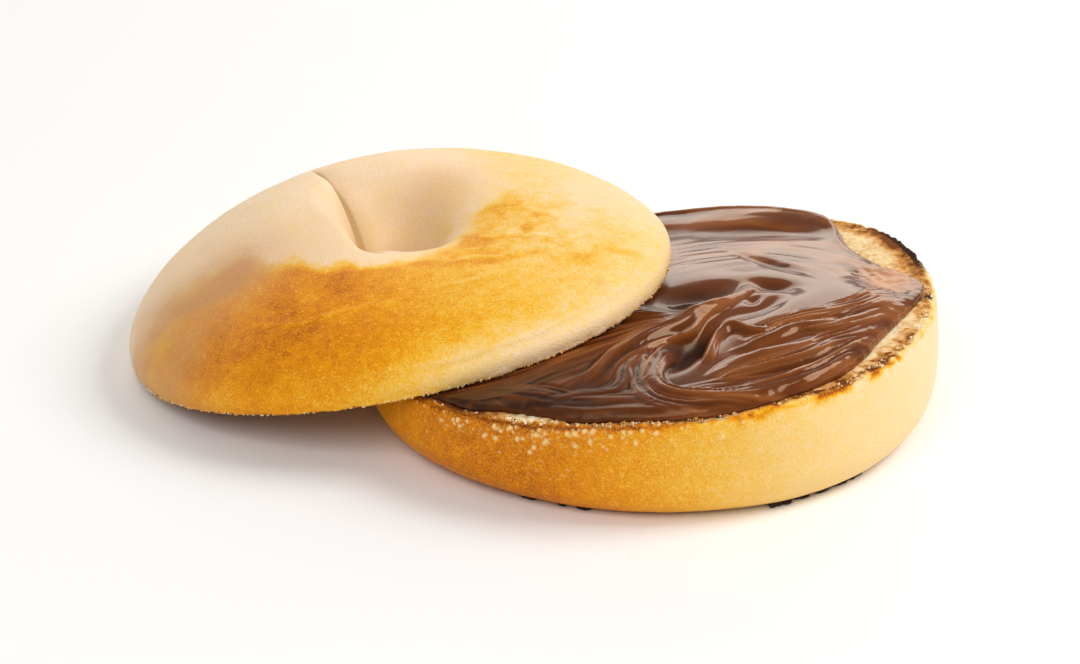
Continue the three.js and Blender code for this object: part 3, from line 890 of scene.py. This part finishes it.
def strokeRelief(x, y):
    # strokes laid over each other: each one's level and streaks replace what is under its width
    seed = spread["seed"]
    plane = np.stack([x, y, np.zeros_like(x)], axis=-1)
    level = 0.35 * layeredNoise(plane, 15, 2, seed + 1)
    streakHighlightAndTone = np.zeros_like(x)
    warpX = x + 0.7 * smoothNoise(plane, 8, seed + 2) + 0.2 * smoothNoise(plane, 3, seed + 3)
    warpY = y + 0.7 * smoothNoise(plane, 8, seed + 4) + 0.2 * smoothNoise(plane, 3, seed + 5)
    for number, stroke in enumerate(strokes):
        low = np.min(stroke["path"], axis=0) - spread["strokeReach"]
        high = np.max(stroke["path"], axis=0) + spread["strokeReach"]
        near = (warpX > low[0]) & (warpX < high[0]) & (warpY > low[1]) & (warpY < high[1])
        off, along, length = alongPath(warpX[near], warpY[near], stroke["path"])
        way = along / length
        halfWidth = np.interp(way, (0, 0.5, 1), stroke["wide"])
        across = off / halfWidth
        count, height = stroke["streaks"]
        fadeIn = smoothStep(0, stroke.get("smooth", 3), along)
        fadeOut = smoothStep(0, stroke.get("tail", 3), length - along)
        height = height * np.clip(halfWidth / 2.6, 0.1, 1) ** 1.6 * fadeIn * fadeOut
        lanes = np.stack([across * count * 1.1, along / 16, np.full_like(off, number * 3.7)], axis=-1)
        laneSeed = seed + 50 + 7 * number
        grooves = 1 - 2.2 * np.abs(smoothNoise(lanes, 1, laneSeed))
        grooves += 0.5 * smoothNoise(lanes * np.array([2.7, 2, 1]), 1, laneSeed + 1)
        mask = smoothStep(1.1, 0.78, np.abs(across)) * fadedEnds(way, 0.12, 0.88)
        lift = np.interp(way, np.linspace(0, 1, len(stroke["lift"])), stroke["lift"])
        rise = lift * np.clip(1 - across**2, 0, 1)
        level[near] = level[near] * (1 - 0.75 * mask) + (rise + height * grooves) * mask
        # the grooves also make the mask of painted highlight on their crests and painted shade between them
        streakHighlightAndTone[near] = blend(streakHighlightAndTone[near], grooves, mask)
    hump = spread["hump"]
    level += hump["rise"] * bell(y - hump["crest"], hump["width"])
    level -= fallAt(y, spread["nearFall"]) + fallAt(y, spread["farFall"])
    for (middleX, middleY), (halfLength, halfWidth), bearing, depth, flat in hollows:
        turn, offX, offY = math.radians(bearing), warpX - middleX, warpY - middleY
        alongIt = (offX * math.cos(turn) + offY * math.sin(turn)) / halfLength
        acrossIt = (offY * math.cos(turn) - offX * math.sin(turn)) / halfWidth
        level -= depth * np.exp(-((alongIt**2 + acrossIt**2) ** flat))
    return level, streakHighlightAndTone


def spreadBearings():
    # bearings that lie further apart where the spread is covered: equal steps of a density's running sum
    turn = np.linspace(0, fullTurn, 3601)
    middle, width, sparser = spread["covered"]
    away = np.abs(turnBetween(middle, np.degrees(turn)))
    density = 1 - sparser * smoothStep(width, width - 15, away)
    total = np.concatenate([[0], np.cumsum(density[:-1])])
    return np.interp(np.arange(spread["bearings"]) / spread["bearings"] * total[-1], total, turn)


def makeSpread(material):
    # rings from the middle to the edge, as high over the cut as the strokes' relief times the edge's
    # quarter circle, kept under the upper half's cut, and closed below inside the cut
    angle = spreadBearings()[:, None]
    edge = spreadEdge(angle)
    radius = edge * np.linspace(0, 1, spread["rows"] + 1)[None, 1:]
    x, y = radius * np.cos(angle), radius * np.sin(angle)
    relief, streakHighlightAndTone = strokeRelief(x, y)
    fromEdge = edge - radius
    # the edge rounds off faster at the back and thins out slowly at the right
    bearing = np.degrees(angle)
    rounding = spread["edgeRound"] - 1.8 * facing(bearing, 75, 40) + 7 * facing(bearing, -14, 24)
    t = np.clip(fromEdge / rounding, 0, 1)
    rounded = np.sqrt(t * (2 - t))
    bead = spread["edgeBead"] * bell(fromEdge - 1.4, 0.9) * (1 - facing(bearing, -14, 30))
    height = spread["thinnest"] + (spread["thickness"] - spread["thinnest"] + relief) * rounded + bead
    # wiped thin at the smear
    plane = np.stack([x, y, 0 * x], axis=-1)
    thin = np.exp(-(ovalReach(x, y, spread["smear"]) ** 2.4))
    thin *= 1 + 0.3 * layeredNoise(plane, 4, 2, spread["seed"] + 10)
    height = blend(height, 0.45 + 0.4 * layeredNoise(plane, 2, 3, spread["seed"] + 9), 0.8 * thin)
    # never thinner than the least height l, with a soft turn towards it: l + s ln(1 + e^((h - l) / s))
    least, softness = spread["least"], spread["leastSoftness"]
    height = least + softness * np.log1p(np.exp((height - least) / softness))
    ceiling = upperCutAt(x, y) - spread["pressGap"]
    z = np.minimum(cutHeightAt(x, y) + height, ceiling)
    top = np.stack([x, y, z], axis=-1)
    # painted shade: the depth mask darkens the hollows, the back slope and the spread under the upper half
    far = fallAt(y, spread["farFall"])
    under = smoothStep(6, 0.8, ceiling - z)  # 1 where the upper half lies close above
    depth = np.clip(-(relief + far) / 2.2 + 0.85 * under, 0, 1)
    lowRows = []
    for inset in spread["belowRows"]:
        reach = edge - inset
        lowX, lowY = reach * np.cos(angle), reach * np.sin(angle)
        lowRows.append(np.stack([lowX, lowY, cutHeightAt(lowX, lowY) - spread["sunk"]], axis=-1))
    points = np.concatenate([top, *lowRows], axis=1)
    middleRelief = strokeRelief(np.zeros((1, 1)), np.zeros((1, 1)))[0][0, 0]
    poles = np.array([[0, 0, lower["cutHeight"] + spread["thickness"] + middleRelief],
                      [0, 0, lower["cutHeight"] - spread["sunk"]]])
    masks = {}
    for name, mask, below in (("streakHighlightAndTone", streakHighlightAndTone, 0), ("depth", depth, 0.5), ("thin", thin, 0)):
        rows = np.concatenate([mask, np.full((len(points), len(lowRows)), below)], axis=1)
        masks[name] = np.append(rows.ravel(), [0, 0])
    faces = discFaces(*points.shape[:2])
    piece = makePiece("chocolate", np.vstack([points.reshape(-1, 3), poles]), faces, masks, material)
    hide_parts("chocolate_spread")
    return piece


def unitLump(around, across):
    # a closed ball of rings between two poles, and its faces as quads
    angle = np.arange(around) / around * fullTurn
    tilt = (np.arange(across) + 1) / (across + 1) * math.pi
    ring = np.stack([
        np.sin(tilt)[None, :] * np.cos(angle)[:, None],
        np.sin(tilt)[None, :] * np.sin(angle)[:, None],
        np.cos(tilt)[None, :] * np.ones((around, 1)),
    ], axis=-1)
    return np.vstack([ring.reshape(-1, 3), [[0, 0, 1], [0, 0, -1]]]), discFaces(around, across)[:, ::-1]


def makeLumps(name, lumps, faces, masks, material):
    # many lumps as one piece: the faces of one lump, repeated on each lump's own points
    every = faces[None] + (np.arange(len(lumps)) * lumps.shape[1])[:, None, None]
    piece = makePiece(name, lumps, every.reshape(-1, 4), masks, material)
    return piece


def makeCrumbs(name, middles, sizes, masks, material, roughness, seed):
    # one uneven ball at each middle: the unit ball scaled along x, y and z and dented by noise
    ball, faces = unitLump(8, 5)
    middles, out = middles[:, None, :], ball[None] * sizes[:, None, :]
    dents = smoothNoise(middles + out, float(np.mean(sizes)) * 1.1, seed)
    return makeLumps(name, middles + out * (1 + roughness * dents[..., None]), faces, masks, material)


rimCrumbs = {
    # bearing, half spread, how many and how toasted
    "zones": (
        (-117, 5, 110, 0.12), (-20, 9, 50, 0.15), (-98, 28, 300, 0.6), (-45, 20, 90, 0.5), (-6, 6, 26, 0.5),
    ),
    "size": (0.08, 0.36), "roughness": 0.7, "seed": 5,
}


def makeRimCrumbs(material):
    # loose crumbs along the lower half's rim
    random = np.random.default_rng(rimCrumbs["seed"])
    bearings, toast = [], []
    for middle, width, count, brown in rimCrumbs["zones"]:
        bearings.append(random.normal(middle, width * 0.6, count))
        toast.append(np.clip(random.normal(brown, 0.2, count), 0, 1))
    angle = np.radians(np.concatenate(bearings))
    toast = np.concatenate(toast)
    rim = lower["rimRadius"] * outlineShare(lower["outline"], angle)
    reach = rim - random.uniform(-0.25, 1.3, len(angle))
    x, y = reach * np.cos(angle), reach * np.sin(angle)
    drop = np.clip(reach - rim, 0, 1)
    middles = np.stack([x, y, cutHeightAt(x, y) - drop + random.uniform(-0.05, 0.12, len(angle))], axis=-1)
    sizes = random.uniform(*rimCrumbs["size"], (len(angle), 1)) ** 1.6 * 1.5
    sizes = sizes * random.uniform(0.6, 1.4, (len(angle), 3))
    masks = {"toast": toast[:, None], "crumb": 1}
    roughness, seed = rimCrumbs["roughness"], rimCrumbs["seed"]
    return makeCrumbs("rimCrumbs", middles, sizes, masks, material, roughness, seed)


fringe = {"count": 1500, "size": (0.06, 0.2), "roughness": 0.35, "seed": 6}


def makeFringe(material):
    # torn bits of crumb that stick out along the upper half's cut edge
    random = np.random.default_rng(fringe["seed"])
    angle = random.uniform(0, fullTurn, fringe["count"])
    rim = upper["rimRadius"] * outlineShare(upper["outline"], angle)
    reach = rim + random.uniform(-0.35, 0.1, len(angle))
    height = random.uniform(-0.12, 0.25, len(angle))
    local = np.stack([reach * np.cos(angle), reach * np.sin(angle), height], axis=-1)
    middles = local @ leanTurn().T + np.array(upper["cutMiddle"])
    sizes = random.uniform(*fringe["size"], (len(angle), 1)) * random.uniform(0.7, 1.5, (len(angle), 3))
    above = middles[:, 2] > sizes[:, 2] + 0.1
    middles, sizes = middles[above], sizes[above]
    toast = np.clip(random.normal(0.42, 0.2, len(middles)), 0, 1)
    masks = {"toast": toast[:, None], "crumb": 0.5}
    return makeCrumbs("fringeCrumbs", middles, sizes, masks, material, fringe["roughness"], fringe["seed"])


burntBits = {
    # bearing, reach from the middle, and half sizes in millimetres
    "bits": (
        (-67.8, 49.0, (1.5, 1.1, 1.1)), (-65.4, 49.2, (1.0, 0.8, 0.7)), (-61, 48.7, (2.2, 0.6, 0.6)),
        (-56, 48.8, (2.2, 0.6, 0.6)), (-51, 48.9, (2.0, 0.6, 0.6)), (-46.5, 49.0, (1.8, 0.5, 0.5)),
        (-107, 48.5, (1.3, 0.5, 0.5)), (-112, 48.4, (1.1, 0.4, 0.4)), (-119, 48.3, (1.8, 0.5, 0.5)),
    ),
    "seed": 8,
}


def makeBurntBits(material):
    # charred bits of crust that lie on the table against the foot of the lower half
    bearing = np.radians([b for b, _, _ in burntBits["bits"]])
    reach = np.array([r for _, r, _ in burntBits["bits"]]) * outlineShare(lower["outline"], bearing)
    sizes = np.array([s for _, _, s in burntBits["bits"]])
    middles = np.stack([reach * np.cos(bearing), reach * np.sin(bearing), sizes[:, 2] * 0.8], axis=-1)
    ball, faces = unitLump(20, 11)
    out = ball[None] * sizes[:, None, :]
    turn = bearing + quarterTurn
    turned = np.stack([
        out[..., 0] * np.cos(turn)[:, None] - out[..., 1] * np.sin(turn)[:, None],
        out[..., 0] * np.sin(turn)[:, None] + out[..., 1] * np.cos(turn)[:, None],
        out[..., 2],
    ], axis=-1)
    dents = layeredNoise(turned + middles[:, None, :], 1.2, 3, burntBits["seed"])
    points = middles[:, None, :] + turned * (1 + 0.7 * dents[..., None])
    points[..., 2] = np.maximum(points[..., 2], 0.02)
    return makeLumps("burntBits", points, faces, {"toast": 1, "crumb": 0.5, "char": 0.9}, material)


stage = {
    "floorSize": 6, "floorColour": (0.96, 0.955, 0.95, 1), "floorRoughness": 0.85, "floorShine": 0.1,
    "worldLight": 0.37, "worldColour": (1, 1, 1, 1),
    "aim": (0, 0, 0.02),
    "softboxes": (
        # name, place and size in metres, power in watts and colour
        ("windowLight", (-0.1, 1.15, 0.36), (1.9, 0.42), 5.4, (1, 0.94, 0.84)),
        ("keyLight", (0.85, 0.1, 0.8), (0.6, 0.6), 8.8, (1, 0.98, 0.96)),
        ("fillLight", (-0.35, -0.95, 1.0), (1.1, 0.8), 7.6, (1, 0.99, 0.98)),
    ),
}


def makeStage():
    # a pale floor, and white light from all round
    finish = {"Roughness": stage["floorRoughness"], "Specular IOR Level": stage["floorShine"]}
    material, _, shader = newMaterial("paleFloor", **finish)
    shader.inputs["Base Color"].default_value = stage["floorColour"]
    mesh = bpy.data.meshes.new("floor")
    half = stage["floorSize"] / 2
    corners = [(-half, -half, 0), (half, -half, 0), (half, half, 0), (-half, half, 0)]
    mesh.from_pydata(corners, [], [(0, 1, 2, 3)])
    mesh.materials.append(material)
    floor = bpy.data.objects.new("floor", mesh)
    bpy.context.collection.objects.link(floor)
    world = bpy.data.worlds.new("softRoom")
    world.use_nodes = True
    background = world.node_tree.nodes["Background"]
    background.inputs["Color"].default_value = stage["worldColour"]
    background.inputs["Strength"].default_value = stage["worldLight"]
    bpy.context.scene.world = world


def addSoftbox(name, place, size, power, colour):
    # a rectangular light that faces the bagel
    lamp = bpy.data.lights.new(name, "AREA")
    lamp.shape, lamp.energy, lamp.color = "RECTANGLE", power, colour
    lamp.size, lamp.size_y = size
    holder = bpy.data.objects.new(name, lamp)
    bpy.context.collection.objects.link(holder)
    direction = Vector(stage["aim"]) - Vector(place)
    holder.location = place
    holder.rotation_euler = direction.to_track_quat("-Z", "Y").to_euler()


camera = {
    "place": (0.00185, -0.572, 0.2739),  # in metres
    "pitch": 25,  # degrees below the horizon
    "sensorWidth": 36, "lens": 112.62,  # in millimetres
    "clipStart": 0.01,
}


def makeCamera():
    # the camera that both halves' outlines were fitted to
    data = bpy.data.cameras.new("photoView")
    data.sensor_width, data.lens = camera["sensorWidth"], camera["lens"]
    data.clip_start = camera["clipStart"]
    holder = bpy.data.objects.new("photoView", data)
    bpy.context.collection.objects.link(holder)
    holder.location = camera["place"]
    holder.rotation_euler = (math.radians(90 - camera["pitch"]), 0, 0)
    bpy.context.scene.camera = holder


makeCamera()
makeStage()
for softbox in stage["softboxes"]:
    addSoftbox(*softbox)
bpy.context.scene.view_settings.view_transform = "Standard"
print("stage and camera made")

bread = makeBread()
makeLowerHalf(bread)
makeUpperHalf(bread)
makeSpread(makeChocolate())
makeRimCrumbs(bread)
makeFringe(bread)
makeBurntBits(bread)
print("pieces made")
